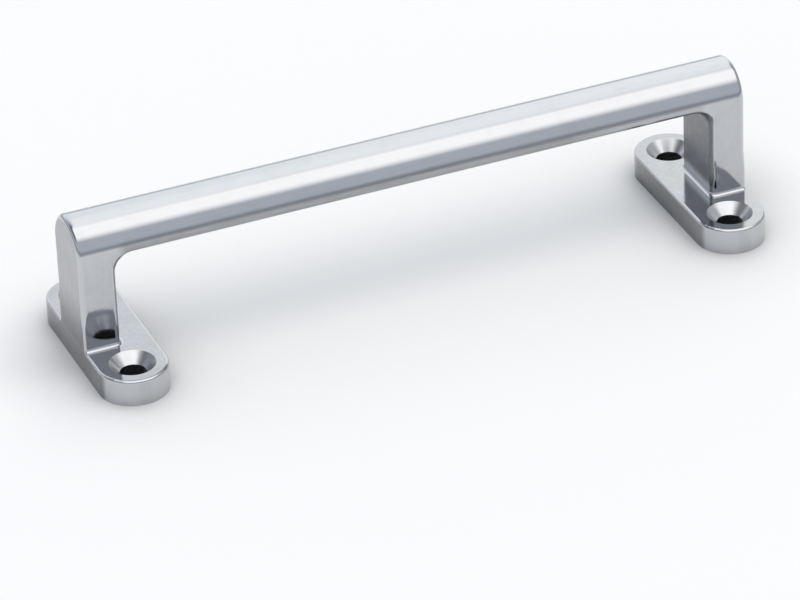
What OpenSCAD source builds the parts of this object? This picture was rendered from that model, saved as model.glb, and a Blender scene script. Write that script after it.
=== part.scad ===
// Bar handle in one casting: a half-round bar on two flat posts, each post standing on a
// foot plate that lies across the bar and takes two countersunk screws.
// X runs along the bar, Y across it, and Z = 0 is the surface that the feet stand on.

/* [Screw holes] */
// Distance between the screw holes of one foot and those of the other, along the bar
hole_pitch = 135; // [100:1:300]
// Distance between the two screw holes of one foot, across the bar
hole_spacing = 30; // [28:0.5:60]
// Diameter of each screw hole, a clearance hole for an M5 screw
hole_d = 5.5; // [4:0.1:6.6]
// Diameter of each countersink where it opens in the top of the foot
sink_d = 9.8; // [8:0.1:11]
// Angle of the countersink, in degrees, as on the head of the screw
sink_angle = 90; // [82:1:100]

/* [Feet] */
// Width of each foot plate, along the bar
foot_w = 15; // [14:0.5:22]
// Thickness of each foot plate
foot_t = 5.8; // [4.5:0.1:9]

/* [Bar and posts] */
// Height from the mounting surface to the crown of the bar
height = 34; // [30:0.5:60]
// Width of the bar and of the posts, across the bar
body_w = 14.6; // [12:0.5:18]
// Thickness of the bar, from its flat underside to its crown
bar_t = 7.5; // [6:0.1:9]
// Thickness of each post, along the bar
post_t = 8; // [6:0.1:10]

/* [Roundings] */
// Radius of the inner bend between a post and the underside of the bar
bend_r = 4; // [2:0.5:8]
// Radius of the polished edges of the posts and of the bar
edge_r = 1.2; // [0.8:0.1:1.4]
// Radius of the rim around the top of each foot
rim_r = 0.6; // [0.4:0.1:0.7]
// Height above the foot over which the outer edges of a post widen to their own radius
widen_h = 8; // [5:0.5:9]
// Radius of the fillet at the root of each post, on the foot plate
root_r = 0.8; // [0.6:0.1:1.2]

/* [Hidden] */
$fn = 96;
// How far a cutter or a fillet reaches past the faces that it works on
lap = 0.4;
half_l = (hole_pitch + foot_w) / 2;
half_w = body_w / 2;
hole_x = hole_pitch / 2;
hole_y = hole_spacing / 2;
foot_r = foot_w / 2;
post_x = half_l - post_t;
under_z = height - bar_t;
arch_z = height - half_w;
bend_x = post_x - bend_r;
bend_z = under_z - bend_r;
root_z = foot_t + root_r;
sink_slope = tan(sink_angle / 2);
sink_depth = (sink_d - hole_d) / 2 / sink_slope;

// Repeats its children on both sides of the plane through the origin with this normal
module both_sides(normal) {
    children();
    mirror(normal) children();
}

// Turns a solid drawn along Z, so that it runs along X and its X and Y point along Y and Z
module along_x() {
    rotate([90, 0, 90]) children();
}

// Turns a solid drawn along Z, so that it runs along -Y and its Y points up
module along_y() {
    rotate([90, 0, 0]) children();
}

// The area between the two sides of a square corner at the origin and the arc of radius r
// that joins them. It rounds an outer edge where it is cut away, and fills an inner one.
module corner_web(r) {
    difference() {
        translate([-lap, -lap]) square(r + lap);
        translate([r, r]) circle(r);
    }
}

// The same area with its corner at x, y, and each side turned back by mirroring where asked
module corner_web_at(r, x, y, flip_x = false, flip_y = false) {
    translate([x, y])
        mirror([flip_x ? 1 : 0, 0])
            mirror([0, flip_y ? 1 : 0])
                corner_web(r);
}

// Rounds an upright square edge at the origin where it is cut away: with radius r1, and with
// a larger radius r2 that starts at the height h and runs out below it. It runs out in a cone
// around its own axis, which is wide enough at its foot to reach the square edge.
module widening_web(r1, r2, h) {
    linear_extrude(h) corner_web(r1);
    difference() {
        translate([-lap, -lap, 0]) cube([r2 + lap, r2 + lap, h]);
        translate([r2, r2, 0]) cylinder(h = h, r1 = sqrt(2) * r2, r2 = r2);
    }
}

// End view of the post and bar, with a half-round top
module end_outline() {
    translate([-half_w, 0]) square([body_w, arch_z]);
    translate([0, arch_z]) circle(half_w);
}

// Front view of the opening under the bar, with its two upper corners rounded
module opening_outline() {
    translate([-post_x, -lap]) square([2 * post_x, bend_z + lap]);
    translate([-bend_x, 0]) square([2 * bend_x, under_z]);
    for (side = [-1, 1]) {
        translate([side * bend_x, bend_z]) circle(bend_r);
    }
}

// Rounds the edge that runs around the opening, on the +Y side: up the inner edge of each
// post, around the bend and along the underside of the bar
module opening_edge() {
    both_sides([1, 0, 0]) {
        linear_extrude(bend_z) corner_web_at(edge_r, post_x, half_w, flip_y = true);
        translate([bend_x, 0, bend_z])
            along_y()
                rotate_extrude(angle = 90) corner_web_at(edge_r, bend_r, -half_w);
    }
    translate([-bend_x, 0, 0])
        along_x()
            linear_extrude(2 * bend_x) corner_web_at(edge_r, half_w, under_z, flip_x = true);
}

// The bar with its two posts
module bridge() {
    difference() {
        intersection() {
            translate([-half_l, 0, 0]) along_x() linear_extrude(2 * half_l) end_outline();
            translate([0, half_w, 0])
                along_y()
                    linear_extrude(body_w)
                        difference() {
                            translate([-half_l, 0]) square([2 * half_l, height]);
                            opening_outline();
                        }
        }
        both_sides([0, 1, 0]) opening_edge();
    }
}

// Foot plate at +X, with square edges
module foot_plate() {
    linear_extrude(foot_t) {
        translate([hole_x - foot_r, -hole_y]) square([foot_w, hole_spacing]);
        for (side = [-1, 1]) {
            translate([hole_x, side * hole_y]) circle(foot_r);
        }
    }
}

// Fillet where the post at +X stands on its foot: along its inner face, and on both sides
// around the inner edge and along the face that looks across the bar
module root_fillet() {
    translate([0, half_w - edge_r, 0])
        along_y()
            linear_extrude(2 * (half_w - edge_r))
                corner_web_at(root_r, post_x, foot_t, flip_x = true);
    both_sides([0, 1, 0]) {
        translate([post_x + edge_r, half_w - edge_r, 0])
            rotate(90) rotate_extrude(angle = 90) corner_web_at(root_r, edge_r, foot_t);
        translate([post_x + edge_r, 0, 0])
            along_x()
                linear_extrude(post_t - edge_r) corner_web_at(root_r, half_w, foot_t);
    }
}

// Rounds the edge of the outer end face at +X, on its +Y side: along the rim of the foot,
// around the root of the post, up the post, where it widens, and over the arch
module end_edge() {
    translate([0, hole_y, 0])
        along_y()
            linear_extrude(hole_y - half_w - root_r)
                corner_web_at(rim_r, half_l, foot_t, flip_x = true, flip_y = true);
    along_x() {
        translate([half_w + root_r, root_z])
            rotate(180)
                rotate_extrude(angle = 90)
                    corner_web_at(rim_r, root_r, half_l, flip_y = true);
        translate([0, arch_z])
            rotate_extrude(angle = 90)
                corner_web_at(edge_r, half_w, half_l, flip_x = true, flip_y = true);
    }
    translate([half_l, half_w, root_z])
        mirror([1, 0, 0]) mirror([0, 1, 0]) widening_web(rim_r, edge_r, widen_h);
    translate([0, 0, root_z + widen_h])
        linear_extrude(arch_z - root_z - widen_h)
            corner_web_at(edge_r, half_l, half_w, flip_x = true, flip_y = true);
}

// Rounds the rest of the rim of the foot at +X: the two round ends and the inner long side
module foot_rim() {
    both_sides([0, 1, 0])
        translate([hole_x, hole_y, 0])
            rotate_extrude(angle = 180)
                corner_web_at(rim_r, foot_r, foot_t, flip_x = true, flip_y = true);
    translate([0, hole_y, 0])
        along_y()
            linear_extrude(hole_spacing)
                corner_web_at(rim_r, hole_x - foot_r, foot_t, flip_y = true);
}

// Countersunk screw hole, standing at the origin
module screw_hole() {
    translate([0, 0, -lap]) cylinder(h = foot_t + 2 * lap, d = hole_d);
    translate([0, 0, foot_t - sink_depth])
        cylinder(h = sink_depth + lap, d1 = hole_d, d2 = sink_d + 2 * lap * sink_slope);
}

module handle() {
    color("silver")
        difference() {
            union() {
                bridge();
                both_sides([1, 0, 0]) {
                    foot_plate();
                    root_fillet();
                }
            }
            both_sides([1, 0, 0]) {
                both_sides([0, 1, 0]) end_edge();
                foot_rim();
            }
            for (x = [-hole_x, hole_x], y = [-hole_y, hole_y]) {
                translate([x, y, 0]) screw_hole();
            }
        }
}

handle();
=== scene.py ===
"""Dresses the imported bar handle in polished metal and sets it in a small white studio.

Run it as a script in Blender 4.5. Every length is in metres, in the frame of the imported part.
"""

import math

import bpy
from bpy.props import FloatProperty, FloatVectorProperty, PointerProperty
from mathutils import Matrix, Vector

bl_info = {
    "name": "Polished Bar Handle",
    "version": (1, 0, 0),
    "blender": (4, 5, 0),
    "location": "3D View > Sidebar > Handle",
    "description": "Dresses a bar handle in polished metal and lights it in a small studio",
    "category": "Object",
}

HANDLE_NODE = "handle"
METAL_SLOT = "polished_metal"

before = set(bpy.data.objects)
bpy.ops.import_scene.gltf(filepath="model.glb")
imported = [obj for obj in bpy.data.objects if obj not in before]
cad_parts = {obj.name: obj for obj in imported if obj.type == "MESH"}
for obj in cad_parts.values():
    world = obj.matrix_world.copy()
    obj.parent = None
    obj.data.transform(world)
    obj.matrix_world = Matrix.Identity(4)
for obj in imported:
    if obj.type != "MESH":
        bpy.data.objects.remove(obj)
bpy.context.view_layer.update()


# Shader maths


# Sockets of a Mix node that mixes colours, by number, because their names come twice
MIX_FACTOR, MIX_A, MIX_B, MIX_RESULT = 0, 6, 7, 2


class Value:
    """A shader socket that Python's operators can work on. Each operator adds one Math node."""

    def __init__(self, nodes, socket):
        self.nodes = nodes
        self.socket = socket

    def _math(self, operation, *inputs):
        node = self.nodes.add("ShaderNodeMath", {"operation": operation}, dict(enumerate(inputs)))
        return self.nodes.value(node.outputs["Value"])

    def __add__(self, other):
        return self._math("ADD", self, other)

    def __sub__(self, other):
        return self._math("SUBTRACT", self, other)

    def __rsub__(self, other):
        return self._math("SUBTRACT", other, self)

    def __mul__(self, other):
        return self._math("MULTIPLY", self, other)

    def __truediv__(self, other):
        return self._math("DIVIDE", self, other)

    def __abs__(self):
        return self._math("ABSOLUTE", self)

    __radd__ = __add__
    __rmul__ = __mul__

    def at_least(self, other):
        return self._math("MAXIMUM", self, other)

    def sine(self):
        return self._math("SINE", self)

    def between(self, a, b):
        """a where this value is 0 and b where it is 1."""
        return a + self * (b - a)

    def smooth(self, start, end):
        """0 up to start, 1 from end on, and a soft S between them.

        Where end is below start, it falls: 1 up to end, and 0 from start on.
        """
        if end < start:
            return 1.0 - self.smooth(end, start)
        settings = {"interpolation_type": "SMOOTHSTEP"}
        inputs = {"Value": self, "From Min": start, "From Max": end}
        node = self.nodes.add("ShaderNodeMapRange", settings, inputs)
        return self.nodes.value(node.outputs["Result"])


class Nodes:
    """A node tree that is filled from Python."""

    def __init__(self, tree):
        tree.nodes.clear()
        self.tree = tree

    def add(self, kind, settings=None, inputs=None):
        """Adds a node of this type, with its settings first, then its sockets' values or links."""
        node = self.tree.nodes.new(kind)
        for name, value in (settings or {}).items():
            setattr(node, name, value)
        for name, value in (inputs or {}).items():
            if isinstance(value, Value):
                value = value.socket
            if isinstance(value, bpy.types.NodeSocket):
                self.tree.links.new(value, node.inputs[name])
            else:
                node.inputs[name].default_value = value
        return node

    def value(self, socket):
        return Value(self, socket)

    def split(self, vector):
        """The three parts of a vector, as values."""
        parts = self.add("ShaderNodeSeparateXYZ", inputs={"Vector": vector}).outputs
        return [self.value(part) for part in parts]

    def length(self, x, y):
        """Length of the level vector x, y."""
        vector = self.add("ShaderNodeCombineXYZ", inputs={"X": x, "Y": y}).outputs["Vector"]
        node = self.add("ShaderNodeVectorMath", {"operation": "LENGTH"}, {"Vector": vector})
        return self.value(node.outputs["Value"])

    def mix_colour(self, factor, a, b):
        """Colour a where factor is 0 and colour b where it is 1."""
        inputs = {MIX_FACTOR: factor, MIX_A: a, MIX_B: b}
        return self.add("ShaderNodeMix", {"data_type": "RGBA"}, inputs).outputs[MIX_RESULT]

    def noise(self, vector, scale=1.0, detail=3.0, roughness=0.6):
        """Noise from 0 to 1, which lies evenly around NOISE_MIDDLE."""
        inputs = {"Vector": vector, "Scale": scale, "Detail": detail, "Roughness": roughness}
        return self.value(self.add("ShaderNodeTexNoise", inputs=inputs).outputs["Fac"])

    def stretched(self, vector, scale):
        """The same coordinates, scaled on each axis, for a pattern that runs along one of them."""
        inputs = {"Vector": vector, "Scale": scale}
        return self.add("ShaderNodeMapping", inputs=inputs).outputs["Vector"]


def opaque(colour):
    return (*colour, 1.0)


# Sizes and colours


# Height of the flat underside of the bar
BAR_UNDERSIDE = 0.0265

# Painted shade on each part of the metal: a darker colour that stands in for darker reflections of
# the shaded floor.
# 0 is the clean polish, 1 has the colour of the shade and haze, and 2 has the deep shade colour.
FRONT_PAINTED_SHADE = 0.18
FOOT_TOP_PAINTED_SHADE = 0.50
FOOT_SIDE_PAINTED_SHADE = 1.30
OUTER_FACE_PAINTED_SHADE = 0.90
INNER_FACE_PAINTED_SHADE = 1.95
BAR_EDGE_PAINTED_SHADE = 0.90

# Painted shade added on the outer sides of the feet and low on the outer faces of the posts, darker
# towards the floor, and taken off at the right end of the bar's lower edge
OUTER_FOOT_EXTRA_SHADE = 0.26
POST_BOTTOM_EXTRA_SHADE = 0.90
BAR_EDGE_SHADE_RELIEF = 0.42

# Middle value of a noise, and how much the clouds and the grain add random haze to the painted
# shade, the grain more where the painted shade is deep
NOISE_MIDDLE = 0.5
CLOUD_CONTRAST = 0.40
GRAIN_CONTRAST = 0.22
SHADE_GRAIN_CONTRAST = 0.8

# What is added to the roughness of the polish where the painted shade lies, by the clouds and in a
# countersink
SHADE_MASK_ROUGHNESS = 0.10
CLOUD_ROUGHNESS = 0.05
SINK_ROUGHNESS = 0.14

# How much longer than wide the streaks are, on the posts and on the bar
POST_STREAK_LENGTH = 4
BAR_STREAK_LENGTH = 100 / 3

# Share of its normal along an axis at which a face starts to count as flat, and does so fully
FLAT_FACE = (0.970, 0.995)
FOOT_SIDE_FACE = (0.92, 1.0)

# Heights between which one finish turns into the next
STREAK_TURN = (BAR_UNDERSIDE - 0.0010, BAR_UNDERSIDE + 0.0010)
BAR_EDGE_BOTTOM = (BAR_UNDERSIDE - 0.0010, BAR_UNDERSIDE - 0.0003)
BAR_EDGE_TOP = (BAR_UNDERSIDE + 0.0035, BAR_UNDERSIDE + 0.0010)
INNER_FACE_TOP = (BAR_UNDERSIDE + 0.0003, BAR_UNDERSIDE - 0.0003)
POST_BOTTOM = (0.018, 0.008)

# The same, above the top of the feet
FOOT_EDGE = (0.0003, 0.0001)
INNER_FACE_BOTTOM = (0.0014, 0.0037)

# The same along the bar, outwards from the inner face of a post
OUTER_PART = (0.002, 0.006)
INNER_FACE = (0.0008, 0.0003)
BAR_EDGE_END = (0.0002, -0.0030)

# The same from the middle of the bar to the right
BAR_EDGE_RIGHT = (0.028, 0.055)

# The same outwards from the middle of a countersink
SINK_EDGE = (0.0050, 0.0048)

# Width of the soft edge of the painted shade under a screw hole
HOLE_SHADE_EDGE = 0.0002

# Distances from the handle between which painted shade turns the floor grey, for light that falls
# off far away
FAR_FLOOR_SHADE = (0.14, 0.5)

# Level direction that lies behind the handle as the camera sees it, and how closely another
# one points the same way where the back light begins and is full
BEHIND = (0.342, 0.94)
BEHIND_SPREAD = (0.45, 0.92)

# Where each light begins and is full: in x and y along the ground, where the right of the
# handle is x = 1 and its back is y = 1, and in height, where the sky overhead is 1
BACK_TURN_X = (0.20, 0.48)
RIGHT_X = (0.45, 0.80)
RIGHT_Y = (0.85, 0.50)
RIGHT_HEIGHT = (0.88, 0.76)
LEFT_X = (-0.25, -0.70)
LEFT_FRONT_Y = (-0.75, -0.35)
LEFT_BACK_Y = (0.80, 0.45)
LEFT_HEIGHT = (0.30, 0.66)

# Edges of the overhead panel, for a panel that hangs one metre above the handle
PANEL_LEFT = (-0.85, -0.45)
PANEL_RIGHT = (1.2, 0.7)
PANEL_FRONT = (-1.20, -0.50)
PANEL_BACK = (0.32, -0.02)

# The light is weaker close to the horizon: its strength there, and the heights of the change
HORIZON_STRENGTH = 0.6
HORIZON_HEIGHT = (0.02, 0.24)

# Least length by which a direction is divided
TINY_LEVEL = 0.001
TINY_HEIGHT = 0.05

# Rays that find the shade on the floor at each point
SHADE_RAYS = 8


class HandleMetal(bpy.types.PropertyGroup):
    """The polished metal of the handle."""

    colour: FloatVectorProperty(
        name="Metal",
        description="Colour of the clean polished metal",
        subtype="COLOR", size=3, min=0, max=1, default=(0.545, 0.555, 0.575),
    )
    # Painted shade: the deepest colour of the painted shade, on the inner faces of the posts, the
    # sides of the feet and low on the posts
    deep_shade_colour: FloatVectorProperty(
        name="Inner faces",
        description="Colour of the metal on the inner faces of the posts, which are hardly polished",
        subtype="COLOR", size=3, min=0, max=1, default=(0.175, 0.180, 0.190),
    )
    # Painted shade and random haze: the colour that the painted shade and the cloudy patches turn
    # the metal towards
    shade_and_haze_colour: FloatVectorProperty(
        name="Haze",
        description="Colour of the metal where it is dull and a little cloudy",
        subtype="COLOR", size=3, min=0, max=1, default=(0.325, 0.330, 0.338),
    )
    sink_colour: FloatVectorProperty(
        name="Countersinks",
        description="Colour of the freshly cut metal in the countersinks",
        subtype="COLOR", size=3, min=0, max=1, default=(0.61, 0.62, 0.635),
    )
    roughness: FloatProperty(
        name="Polish roughness",
        description="Roughness of the clean polish",
        subtype="FACTOR", min=0, max=1, default=0.07,
    )
    cloud_size: FloatProperty(
        name="Cloud size",
        description="Size of the cloudy patches in the polish",
        subtype="DISTANCE", unit="LENGTH", min=0.001, max=0.05, default=0.0045,
    )
    streak_size: FloatProperty(
        name="Streak size",
        description="Width of one line of the polishing streaks",
        subtype="DISTANCE", unit="LENGTH", min=0.0001, max=0.01, default=0.0004,
    )
    grain_depth: FloatProperty(
        name="Streak depth",
        description="Depth of the polishing streaks",
        subtype="DISTANCE", unit="LENGTH", min=0, max=0.001, default=0.0000008,
    )
    ring_size: FloatProperty(
        name="Turning mark size",
        description="Distance between the turning marks in a countersink",
        subtype="DISTANCE", unit="LENGTH", min=0.00002, max=0.001, default=0.00016,
    )
    ring_depth: FloatProperty(
        name="Turning mark depth",
        description="Depth of the turning marks",
        subtype="DISTANCE", unit="LENGTH", min=0, max=0.0001, default=0.000003,
    )
    foot_top: FloatProperty(
        name="Foot top",
        description="Height of the top of the feet",
        subtype="DISTANCE", unit="LENGTH", min=0, max=0.02, default=0.0058,
    )
    post_inside: FloatProperty(
        name="Inner face",
        description="Distance of the inner face of each post from the middle of the handle",
        subtype="DISTANCE", unit="LENGTH", min=0, max=0.2, default=0.067,
    )
    hole_place: FloatVectorProperty(
        name="Hole place",
        description="Distance of each screw hole from the middle, along and across the bar",
        subtype="XYZ_LENGTH", unit="LENGTH", size=2, default=(0.0675, 0.015),
    )
    ripple_size: FloatProperty(
        name="Ripple size",
        description="Length of one of the slow ripples that hand polishing leaves",
        subtype="DISTANCE", unit="LENGTH", min=0.001, max=0.05, default=0.008,
    )
    ripple_depth: FloatProperty(
        name="Ripple depth",
        description="Depth of the slow ripples",
        subtype="DISTANCE", unit="LENGTH", min=0, max=0.001, default=0.000004,
    )


class HandleStudio(bpy.types.PropertyGroup):
    """The floor, the light around the handle and the camera."""

    floor_colour: FloatVectorProperty(
        name="Floor",
        description="Colour of the floor under the handle",
        subtype="COLOR", size=3, min=0, max=1, default=(0.97, 0.97, 0.97),
    )
    # Painted shade: the grey of the floor far away stands in for the light falling off
    far_floor_shade_colour: FloatVectorProperty(
        name="Far floor",
        description="Colour of the floor away from the handle",
        subtype="COLOR", size=3, min=0, max=1, default=(0.52, 0.53, 0.55),
    )
    # Painted shade: a dark disc on the floor under each screw hole stands for the shade inside the
    # hole; the floor has no holes
    hole_shade_colour: FloatVectorProperty(
        name="Pilot holes",
        description="Colour inside the four holes that are drilled in the floor for the screws",
        subtype="COLOR", size=3, min=0, max=1, default=(0.02, 0.02, 0.02),
    )
    hole_shade_radius: FloatProperty(
        name="Pilot hole radius",
        description="Radius of each dark hole in the floor",
        subtype="DISTANCE", unit="LENGTH", min=0.001, max=0.006, default=0.0045,
    )
    shade_colour: FloatVectorProperty(
        name="Floor shade",
        description="Colour of the floor in the deepest corner under the handle",
        subtype="COLOR", size=3, min=0, max=1, default=(0.62, 0.62, 0.625),
    )
    shade_reach: FloatProperty(
        name="Shade reach",
        description="Distance over which the handle shades the floor",
        subtype="DISTANCE", unit="LENGTH", min=0, max=0.2, default=0.021,
    )
    shade_lean: FloatVectorProperty(
        name="Shade lean",
        description="Direction in which the handle has to lie to shade the floor",
        subtype="DIRECTION", size=3, default=(0.50, -0.50, 0.70),
    )
    floor_size: FloatProperty(
        name="Floor size",
        description="Length of each side of the floor",
        subtype="DISTANCE", unit="LENGTH", min=1, max=50, default=12.0,
    )
    back_light: FloatVectorProperty(
        name="Back light",
        description="Light that comes from behind the handle",
        subtype="COLOR", size=3, min=0, soft_max=2, default=(1.41, 1.43, 1.43),
    )
    back_left_light: FloatVectorProperty(
        name="Back light, left",
        description="Light that comes from behind the handle on the left",
        subtype="COLOR", size=3, min=0, soft_max=2, default=(1.16, 1.21, 1.27),
    )
    front_light: FloatVectorProperty(
        name="Front light",
        description="Dim light that comes from the side of the camera",
        subtype="COLOR", size=3, min=0, soft_max=2, default=(0.645, 0.685, 0.75),
    )
    right_light: FloatVectorProperty(
        name="Right light",
        description="Light that comes from the right",
        subtype="COLOR", size=3, min=0, soft_max=2, default=(0.56, 0.58, 0.61),
    )
    left_light: FloatVectorProperty(
        name="Upper left light",
        description="Very dim light that comes from above the horizon on the left",
        subtype="COLOR", size=3, min=0, soft_max=2, default=(0.19, 0.20, 0.215),
    )
    top_light: FloatVectorProperty(
        name="Top light",
        description="Light of the soft panel overhead",
        subtype="COLOR", size=3, min=0, soft_max=2, default=(1.70, 1.67, 1.64),
    )
    camera_azimuth: FloatProperty(
        name="Camera azimuth",
        description="Direction from which the camera looks, from the front towards the right",
        subtype="ANGLE", unit="ROTATION", default=math.radians(-21.70),
    )
    camera_elevation: FloatProperty(
        name="Camera elevation",
        description="Angle at which the camera looks down",
        subtype="ANGLE", unit="ROTATION", default=math.radians(31.30),
    )
    camera_roll: FloatProperty(
        name="Camera roll",
        description="Turn of the camera about its own line of sight",
        subtype="ANGLE", unit="ROTATION", default=math.radians(-2.43),
    )
    camera_distance: FloatProperty(
        name="Camera distance",
        description="Distance from the camera to the point on the floor that it looks at",
        subtype="DISTANCE", unit="LENGTH", min=0.1, default=1.1577,
    )
    camera_aim: FloatVectorProperty(
        name="Camera aim",
        description="Point on the floor that the camera looks at",
        subtype="TRANSLATION", unit="LENGTH", size=3, default=(-0.00544, -0.00783, 0.0),
    )
    camera_lens: FloatProperty(
        name="Lens",
        description="Focal length of the camera, in millimetres",
        min=10, max=500, default=249.4,
    )


# The handle


def streak_scale(size, long_axis, length):
    """Scale of a noise with streaks of this width along one axis, length times as long."""
    scale = [1.0 / size] * 3
    scale[long_axis] /= length
    return scale


def painted_shade_amount(look, x, z, facing):
    """How much painted shade darkens the metal at a place, by the face that it lies on.

    facing holds the sizes of the three parts of the face's normal.
    """
    side, front, level = [part.smooth(*FLAT_FACE) for part in facing]
    from_post = abs(x) - look.post_inside
    from_foot = z - look.foot_top
    on_foot = from_foot.smooth(*FOOT_EDGE)
    outer = from_post.smooth(*OUTER_PART)

    # Each of these is painted shade on one part: foot tops and sides, outer and inner post faces,
    # and the bar's lower edge
    foot_top = level * on_foot * FOOT_TOP_PAINTED_SHADE
    foot_side = facing[0].smooth(*FOOT_SIDE_FACE) * on_foot
    foot_side = foot_side * (FOOT_SIDE_PAINTED_SHADE + outer * OUTER_FOOT_EXTRA_SHADE)
    outer_face = side * outer * (1.0 - on_foot)
    # Painted shade on the outer faces of the posts grows darker towards the floor
    outer_face = outer_face * (OUTER_FACE_PAINTED_SHADE + z.smooth(*POST_BOTTOM) * POST_BOTTOM_EXTRA_SHADE)
    inner_face = from_post.smooth(*INNER_FACE) * (1.0 - front)
    inner_face = inner_face * from_foot.smooth(*INNER_FACE_BOTTOM) * z.smooth(*INNER_FACE_TOP)
    bar_edge = z.smooth(*BAR_EDGE_TOP) * z.smooth(*BAR_EDGE_BOTTOM)
    bar_edge = bar_edge * from_post.smooth(*BAR_EDGE_END)
    bar_edge = bar_edge * (BAR_EDGE_PAINTED_SHADE - x.smooth(*BAR_EDGE_RIGHT) * BAR_EDGE_SHADE_RELIEF)

    painted_shade = foot_top.at_least(foot_side).at_least(front * FRONT_PAINTED_SHADE).at_least(outer_face)
    return painted_shade.at_least(inner_face * INNER_FACE_PAINTED_SHADE).at_least(bar_edge)


def polished_metal(look):
    """Bright polished metal with the marks of the polishing, darkened by painted shade on the feet,
    the posts and the bar's lower edge.
    """
    material = bpy.data.materials.new(METAL_SLOT)
    material.use_nodes = True
    nodes = Nodes(material.node_tree)
    source = nodes.add("ShaderNodeTexCoord").outputs
    place = source["Object"]
    x, y, z = nodes.split(place)
    facing = [abs(part) for part in nodes.split(source["Normal"])]
    painted_shade = painted_shade_amount(look, x, z, facing)

    clouds = nodes.noise(place, 1.0 / look.cloud_size) - NOISE_MIDDLE
    up = nodes.stretched(place, streak_scale(look.streak_size, 2, POST_STREAK_LENGTH))
    along = nodes.stretched(place, streak_scale(look.streak_size, 0, BAR_STREAK_LENGTH))
    grain = z.smooth(*STREAK_TURN).between(nodes.noise(up), nodes.noise(along))

    hole_x, hole_y = look.hole_place
    from_hole = nodes.length(abs(x) - hole_x, abs(y) - hole_y)
    in_sink = from_hole.smooth(*SINK_EDGE)

    # Painted shade, with random clouds and grain, turns the clean colour towards the shade-and-haze
    # colour and then towards the deep shade colour
    shade_and_haze = painted_shade + clouds * CLOUD_CONTRAST
    shade_and_haze = shade_and_haze + (grain - NOISE_MIDDLE) * (painted_shade * SHADE_GRAIN_CONTRAST + GRAIN_CONTRAST)
    colour = nodes.mix_colour(shade_and_haze, opaque(look.colour), opaque(look.shade_and_haze_colour))
    colour = nodes.mix_colour(shade_and_haze - 1.0, colour, opaque(look.deep_shade_colour))
    colour = nodes.mix_colour(in_sink, colour, opaque(look.sink_colour))
    roughness = look.roughness + painted_shade * SHADE_MASK_ROUGHNESS
    roughness = roughness + clouds * CLOUD_ROUGHNESS + in_sink * SINK_ROUGHNESS

    ripple = nodes.noise(place, 1.0 / look.ripple_size, detail=1.0, roughness=0.5)
    rings = (from_hole * (math.tau / look.ring_size)).sine() * in_sink
    relief = ripple * look.ripple_depth + grain * look.grain_depth + rings * look.ring_depth
    inputs = {"Strength": 1.0, "Distance": 1.0, "Height": relief}
    bump = nodes.add("ShaderNodeBump", inputs=inputs)

    shader = nodes.add("ShaderNodeBsdfPrincipled", inputs={
        "Base Color": colour,
        "Metallic": 1.0,
        "Roughness": roughness,
        "Normal": bump.outputs["Normal"],
    })
    nodes.add("ShaderNodeOutputMaterial", inputs={"Surface": shader.outputs["BSDF"]})
    return material


class HANDLE_OT_polish(bpy.types.Operator):
    """Give the handle its polished metal"""

    bl_idname = "handle.polish"
    bl_label = "Polish the Handle"
    bl_options = {"REGISTER", "UNDO"}

    def execute(self, context):
        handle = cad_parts[HANDLE_NODE]
        handle.data.materials.clear()
        handle.data.materials.append(polished_metal(context.scene.handle_metal))
        return {"FINISHED"}


# The studio


def floor_paint(look, hole_place):
    """Pale matt paint, with painted shade close to the handle, painted falloff of the light far from
    it, and painted dark shade under the screw holes.

    There is one dark disc of painted shade under each screw hole of the handle.
    """
    material = bpy.data.materials.new("floor_paint")
    material.use_nodes = True
    nodes = Nodes(material.node_tree)
    x, y, _ = nodes.split(nodes.add("ShaderNodeTexCoord").outputs["Object"])
    far_shade = nodes.length(x, y).smooth(*FAR_FLOOR_SHADE)
    colour = nodes.mix_colour(far_shade, opaque(look.floor_colour), opaque(look.far_floor_shade_colour))

    # Painted shade: the floor's colour turns towards the shade colour where the handle stands close
    # on the leaning side
    inputs = {"Distance": look.shade_reach, "Normal": tuple(look.shade_lean)}
    shade = nodes.add("ShaderNodeAmbientOcclusion", {"samples": SHADE_RAYS}, inputs)
    open_sky = nodes.value(shade.outputs["AO"])
    colour = nodes.mix_colour(open_sky * open_sky, opaque(look.shade_colour), colour)

    hole_x, hole_y = hole_place
    from_hole = nodes.length(abs(x) - hole_x, abs(y) - hole_y)
    # Painted shade under each screw hole
    in_hole_shade = from_hole.smooth(look.hole_shade_radius, look.hole_shade_radius - HOLE_SHADE_EDGE)
    colour = nodes.mix_colour(in_hole_shade, colour, opaque(look.hole_shade_colour))
    shader = nodes.add("ShaderNodeBsdfDiffuse", inputs={"Color": colour})
    nodes.add("ShaderNodeOutputMaterial", inputs={"Surface": shader.outputs["BSDF"]})
    return material


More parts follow.
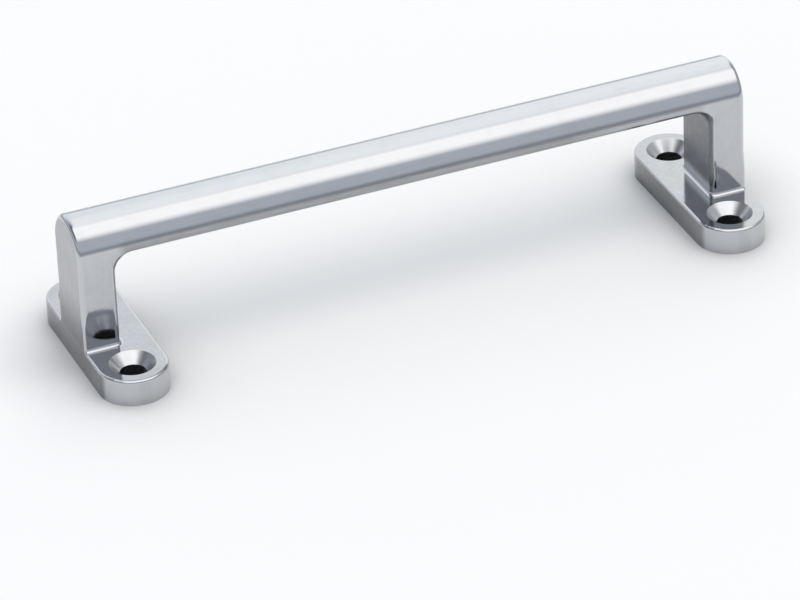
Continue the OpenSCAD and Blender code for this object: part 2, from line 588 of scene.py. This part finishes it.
def studio_light(look):
    """Light from all round, pale behind the handle and dimmer elsewhere, and a panel overhead."""
    world = bpy.data.worlds.new("studio_light")
    world.use_nodes = True
    nodes = Nodes(world.node_tree)
    x, y, height = nodes.split(nodes.add("ShaderNodeTexCoord").outputs["Generated"])
    length = nodes.length(x, y).at_least(TINY_LEVEL)
    level_x = x / length
    level_y = y / length

    back_turn = level_x.smooth(*BACK_TURN_X)
    back = nodes.mix_colour(back_turn, opaque(look.back_left_light), opaque(look.back_light))
    behind = (level_x * BEHIND[0] + level_y * BEHIND[1]).smooth(*BEHIND_SPREAD)
    colour = nodes.mix_colour(behind, opaque(look.front_light), back)
    on_right = level_x.smooth(*RIGHT_X) * level_y.smooth(*RIGHT_Y) * height.smooth(*RIGHT_HEIGHT)
    colour = nodes.mix_colour(on_right, colour, opaque(look.right_light))
    on_left = level_x.smooth(*LEFT_X) * height.smooth(*LEFT_HEIGHT)
    on_left = on_left * level_y.smooth(*LEFT_FRONT_Y) * level_y.smooth(*LEFT_BACK_Y)
    colour = nodes.mix_colour(on_left, colour, opaque(look.left_light))

    up = height.at_least(TINY_HEIGHT)
    across = x / up
    ahead = y / up
    panel = across.smooth(*PANEL_LEFT) * across.smooth(*PANEL_RIGHT)
    panel = panel * ahead.smooth(*PANEL_FRONT) * ahead.smooth(*PANEL_BACK)
    colour = nodes.mix_colour(panel, colour, opaque(look.top_light))

    above = height.smooth(*HORIZON_HEIGHT)
    strength = HORIZON_STRENGTH + (1.0 - HORIZON_STRENGTH) * above
    light = nodes.add("ShaderNodeBackground", inputs={"Color": colour, "Strength": strength})
    nodes.add("ShaderNodeOutputWorld", inputs={"Surface": light.outputs["Background"]})
    return world


def add_floor(look, hole_place):
    mesh = bpy.data.meshes.new("floor")
    side = look.floor_size / 2
    corners = [(-side, -side, 0), (side, -side, 0), (side, side, 0), (-side, side, 0)]
    mesh.from_pydata(corners, [], [(0, 1, 2, 3)])
    mesh.materials.append(floor_paint(look, hole_place))
    floor = bpy.data.objects.new("floor", mesh)
    bpy.context.scene.collection.objects.link(floor)


def add_camera(look):
    camera = bpy.data.objects.new("camera", bpy.data.cameras.new("camera"))
    bpy.context.scene.collection.objects.link(camera)
    camera.data.lens = look.camera_lens
    camera.data.clip_start = 0.01
    camera.data.clip_end = 100
    azimuth, elevation = look.camera_azimuth, look.camera_elevation
    back = Vector((
        math.sin(azimuth) * math.cos(elevation),
        -math.cos(azimuth) * math.cos(elevation),
        math.sin(elevation),
    ))
    camera.location = Vector(look.camera_aim) + back * look.camera_distance
    level = (-back).to_track_quat("-Z", "Y").to_matrix()
    camera.rotation_euler = (level @ Matrix.Rotation(look.camera_roll, 3, "Z")).to_euler()
    bpy.context.scene.camera = camera


class HANDLE_OT_studio(bpy.types.Operator):
    """Add the floor, the light around the handle and the camera"""

    bl_idname = "handle.studio"
    bl_label = "Set Up the Studio"
    bl_options = {"REGISTER", "UNDO"}

    def execute(self, context):
        look = context.scene.handle_studio
        add_floor(look, context.scene.handle_metal.hole_place)
        context.scene.world = studio_light(look)
        context.scene.view_settings.view_transform = "Standard"
        add_camera(look)
        return {"FINISHED"}


class HANDLE_PT_sidebar(bpy.types.Panel):
    """The handle's steps and values in the sidebar of the 3D view"""

    bl_idname = "HANDLE_PT_sidebar"
    bl_label = "Bar Handle"
    bl_space_type = "VIEW_3D"
    bl_region_type = "UI"
    bl_category = "Handle"

    def draw(self, context):
        scene = context.scene
        steps = {"handle.polish": scene.handle_metal, "handle.studio": scene.handle_studio}
        for operator, values in steps.items():
            box = self.layout.box()
            box.operator(operator)
            for name in values.__annotations__:
                box.prop(values, name)


CLASSES = (HandleMetal, HandleStudio, HANDLE_OT_polish, HANDLE_OT_studio, HANDLE_PT_sidebar)


def register():
    for item in CLASSES:
        bpy.utils.register_class(item)
    bpy.types.Scene.handle_metal = PointerProperty(type=HandleMetal)
    bpy.types.Scene.handle_studio = PointerProperty(type=HandleStudio)


def unregister():
    del bpy.types.Scene.handle_studio
    del bpy.types.Scene.handle_metal
    for item in reversed(CLASSES):
        bpy.utils.unregister_class(item)


def main():
    register()
    bpy.ops.handle.polish()
    bpy.ops.handle.studio()


if __name__ == "__main__":
    main()
